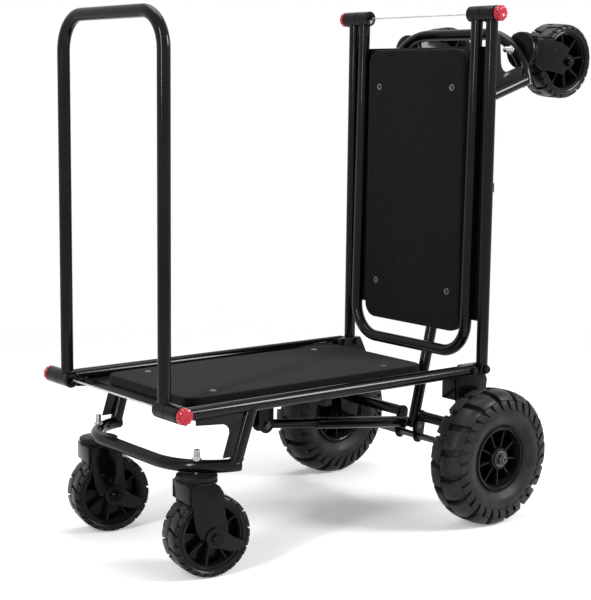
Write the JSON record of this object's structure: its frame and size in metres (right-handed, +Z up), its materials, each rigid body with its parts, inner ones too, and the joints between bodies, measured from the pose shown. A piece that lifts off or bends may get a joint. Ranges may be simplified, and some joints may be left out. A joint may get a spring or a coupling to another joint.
{
  "type": "folding cart",
  "caption": "Folding platform cart standing half open: one deck level on casters with its loop handle up, the other folded upright over large wheels.",
  "frame": {"origin": "on the ground, under the middle of the cart's outline", "axes": "+X from the level front half towards the big wheels and the upright rear half, +Y across the cart to its far side, +Z up"},
  "size_m": [1.139, 0.6332, 1.103],
  "materials": {
    "black_enamel": "gloss",
    "black_carpet": "matt",
    "black_plastic": "satin",
    "black_rubber": "matt",
    "zinc_plate": "satin",
    "red_plastic": "gloss"
  },
  "bodies": {
    "centre_frame": {"leg_near": "black_enamel", "leg_far": "black_enamel", "strut_bolt": "zinc_plate", "axle_rod": "zinc_plate", "hinge_bolt_front_far": "zinc_plate", "hinge_bolt_front_near": "zinc_plate", "hinge_bolt_rear_far": "zinc_plate", "hinge_bolt_rear_near": "zinc_plate"},
    "front_half": {"front_deck_frame": "black_enamel", "front_subframe": "black_enamel", "front_deck_board": "black_carpet", "front_deck_screws_inner": "zinc_plate", "front_deck_screws_outer": "zinc_plate", "caster_front_near_stem": "zinc_plate", "caster_front_far_stem": "zinc_plate"},
    "front_handle_loop": {"front_handle": "black_enamel", "front_release_wire": "zinc_plate"},
    "front_strut_outer": {"front_strut_tube": "black_enamel"},
    "front_strut_inner": {"front_strut_rod": "black_enamel"},
    "front_near_button": {"front_button_near": "red_plastic"},
    "front_near_caster_fork": {"caster_front_near_fork": "black_enamel", "caster_front_near_axle": "zinc_plate"},
    "front_near_caster_wheel": {"caster_front_near_rim": "black_plastic", "caster_front_near_tyre": "black_rubber"},
    "front_near_caster_brake": {"caster_front_near_brake": "black_enamel"},
    "front_far_button": {"front_button_far": "red_plastic"},
    "front_far_caster_fork": {"caster_front_far_fork": "black_enamel", "caster_front_far_axle": "zinc_plate"},
    "front_far_caster_wheel": {"caster_front_far_rim": "black_plastic", "caster_front_far_tyre": "black_rubber"},
    "front_far_caster_brake": {"caster_front_far_brake": "black_enamel"},
    "rear_half": {"rear_deck_frame": "black_enamel", "rear_subframe": "black_enamel", "rear_deck_board": "black_carpet", "rear_deck_screws_inner": "zinc_plate", "rear_deck_screws_outer": "zinc_plate", "caster_rear_near_stem": "zinc_plate", "caster_rear_far_stem": "zinc_plate"},
    "rear_handle_loop": {"rear_handle": "black_enamel", "rear_release_wire": "zinc_plate"},
    "rear_strut_outer": {"rear_strut_tube": "black_enamel"},
    "rear_strut_inner": {"rear_strut_rod": "black_enamel"},
    "rear_near_button": {"rear_button_near": "red_plastic"},
    "rear_near_caster_fork": {"caster_rear_near_fork": "black_enamel", "caster_rear_near_axle": "zinc_plate"},
    "rear_near_caster_wheel": {"caster_rear_near_rim": "black_plastic", "caster_rear_near_tyre": "black_rubber"},
    "rear_near_caster_brake": {"caster_rear_near_brake": "black_enamel"},
    "rear_far_button": {"rear_button_far": "red_plastic"},
    "rear_far_caster_fork": {"caster_rear_far_fork": "black_enamel", "caster_rear_far_axle": "zinc_plate"},
    "rear_far_caster_wheel": {"caster_rear_far_rim": "black_plastic", "caster_rear_far_tyre": "black_rubber"},
    "rear_far_caster_brake": {"caster_rear_far_brake": "black_enamel"},
    "near_rear_wheel": {"rear_wheel_near_tyre": "black_rubber", "rear_wheel_near_rim": "black_plastic", "rear_wheel_near_bearing": "zinc_plate"},
    "far_rear_wheel": {"rear_wheel_far_tyre": "black_rubber", "rear_wheel_far_rim": "black_plastic", "rear_wheel_far_bearing": "zinc_plate"}
  },
  "joints": [
    {"name": "front_fold", "type": "hinge", "parent": "centre_frame", "child": "front_half", "pos_m": [0.20469, 0, 0.3288], "axis": [0, 1, 0], "range_deg": [0, 75]},
    {"name": "front_handle_fold", "type": "hinge", "parent": "front_half", "child": "front_handle_loop", "pos_m": [-0.55281, 0, 0.3328], "axis": [0, 1, 0], "range_deg": [0, 89.24]},
    {"name": "front_strut_swing", "type": "hinge", "parent": "centre_frame", "child": "front_strut_outer", "pos_m": [0.21969, 0, 0.172], "axis": [0, 1, 0], "range_deg": [0, 59.6]},
    {"name": "front_strut_slide", "type": "slide", "parent": "front_strut_outer", "child": "front_strut_inner", "axis": [-0.9926, 0, 0.1217], "range_m": [0, 0.144]},
    {"name": "front_near_button_push", "type": "slide", "parent": "front_half", "child": "front_near_button", "axis": [0, 1, 0], "range_m": [0, 0.003], "stiffness_N_per_m": 1500},
    {"name": "front_near_caster_swivel", "type": "hinge", "parent": "front_half", "child": "front_near_caster_fork", "pos_m": [-0.48035, -0.18143, 0.2018], "axis": [0, 0, 1], "continuous": true},
    {"name": "front_near_caster_spin", "type": "hinge", "parent": "front_near_caster_fork", "child": "front_near_caster_wheel", "pos_m": [-0.46008, -0.1845, 0.0815], "axis": [0.1495, 0.9888, 0], "continuous": true},
    {"name": "front_near_caster_brake_lift", "type": "hinge", "parent": "front_near_caster_fork", "child": "front_near_caster_brake", "pos_m": [-0.46008, -0.1845, 0.0815], "axis": [0.1495, 0.9888, 0], "range_deg": [-25, 0]},
    {"name": "front_far_button_push", "type": "slide", "parent": "front_half", "child": "front_far_button", "axis": [0, -1, 0], "range_m": [0, 0.003], "stiffness_N_per_m": 1500},
    {"name": "front_far_caster_swivel", "type": "hinge", "parent": "front_half", "child": "front_far_caster_fork", "pos_m": [-0.48035, 0.18143, 0.2018], "axis": [0, 0, 1], "continuous": true},
    {"name": "front_far_caster_spin", "type": "hinge", "parent": "front_far_caster_fork", "child": "front_far_caster_wheel", "pos_m": [-0.46033, 0.17703, 0.0815], "axis": [0.2147, 0.9767, 0], "continuous": true},
    {"name": "front_far_caster_brake_lift", "type": "hinge", "parent": "front_far_caster_fork", "child": "front_far_caster_brake", "pos_m": [-0.46033, 0.17703, 0.0815], "axis": [0.2147, 0.9767, 0], "range_deg": [-25, 0]},
    {"name": "rear_fold", "type": "hinge", "parent": "centre_frame", "child": "rear_half", "pos_m": [0.24069, 0, 0.3288], "axis": [0, 1, 0], "range_deg": [0, 90]},
    {"name": "rear_handle_fold", "type": "hinge", "parent": "rear_half", "child": "rear_handle_loop", "pos_m": [0.23669, 0, 1.0863], "axis": [0, 1, 0], "range_deg": [0, 89.24]},
    {"name": "rear_strut_swing", "type": "hinge", "parent": "centre_frame", "child": "rear_strut_outer", "pos_m": [0.21969, -0.03, 0.172], "axis": [0, 1, 0], "range_deg": [0, 70]},
    {"name": "rear_strut_slide", "type": "slide", "parent": "rear_strut_outer", "child": "rear_strut_inner", "axis": [0.2275, 0, 0.9738], "range_m": [-0.148, 0]},
    {"name": "rear_near_button_push", "type": "slide", "parent": "rear_half", "child": "rear_near_button", "axis": [0, 1, 0], "range_m": [0, 0.003], "stiffness_N_per_m": 1500},
    {"name": "rear_near_caster_swivel", "type": "hinge", "parent": "rear_half", "child": "rear_near_caster_fork", "pos_m": [0.36769, -0.18143, 1.01384], "axis": [-1, 0, 0], "continuous": true},
    {"name": "rear_near_caster_spin", "type": "hinge", "parent": "rear_near_caster_fork", "child": "rear_near_caster_wheel", "pos_m": [0.48799, -0.18, 0.99339], "axis": [0, -0.9976, -0.0698], "continuous": true},
    {"name": "rear_near_caster_brake_lift", "type": "hinge", "parent": "rear_near_caster_fork", "child": "rear_near_caster_brake", "pos_m": [0.48799, -0.18, 0.99339], "axis": [0, -0.9976, -0.0698], "range_deg": [-25, 0]},
    {"name": "rear_far_button_push", "type": "slide", "parent": "rear_half", "child": "rear_far_button", "axis": [0, -1, 0], "range_m": [0, 0.003], "stiffness_N_per_m": 1500},
    {"name": "rear_far_caster_swivel", "type": "hinge", "parent": "rear_half", "child": "rear_far_caster_fork", "pos_m": [0.36769, 0.18143, 1.01384], "axis": [-1, 0, 0], "continuous": true},
    {"name": "rear_far_caster_spin", "type": "hinge", "parent": "rear_far_caster_fork", "child": "rear_far_caster_wheel", "pos_m": [0.48799, 0.18, 0.99339], "axis": [0, -0.9976, 0.0698], "continuous": true},
    {"name": "rear_far_caster_brake_lift", "type": "hinge", "parent": "rear_far_caster_fork", "child": "rear_far_caster_brake", "pos_m": [0.48799, 0.18, 0.99339], "axis": [0, -0.9976, 0.0698], "range_deg": [-25, 0]},
    {"name": "near_rear_wheel_spin", "type": "hinge", "parent": "centre_frame", "child": "near_rear_wheel", "pos_m": [0.22269, -0.2675, 0.147], "axis": [0, 1, 0], "continuous": true},
    {"name": "far_rear_wheel_spin", "type": "hinge", "parent": "centre_frame", "child": "far_rear_wheel", "pos_m": [0.22269, 0.2675, 0.147], "axis": [0, 1, 0], "continuous": true}
  ],
  "couplings": [
    {"joint": "front_strut_swing", "follows": "front_fold", "ratio": 0.79445},
    {"joint": "front_strut_slide", "follows": "front_fold", "m_per_rad": 0.10944},
    {"joint": "rear_strut_swing", "follows": "rear_fold", "ratio": 0.77729},
    {"joint": "rear_strut_slide", "follows": "rear_fold", "m_per_rad": -0.09394}
  ]
}
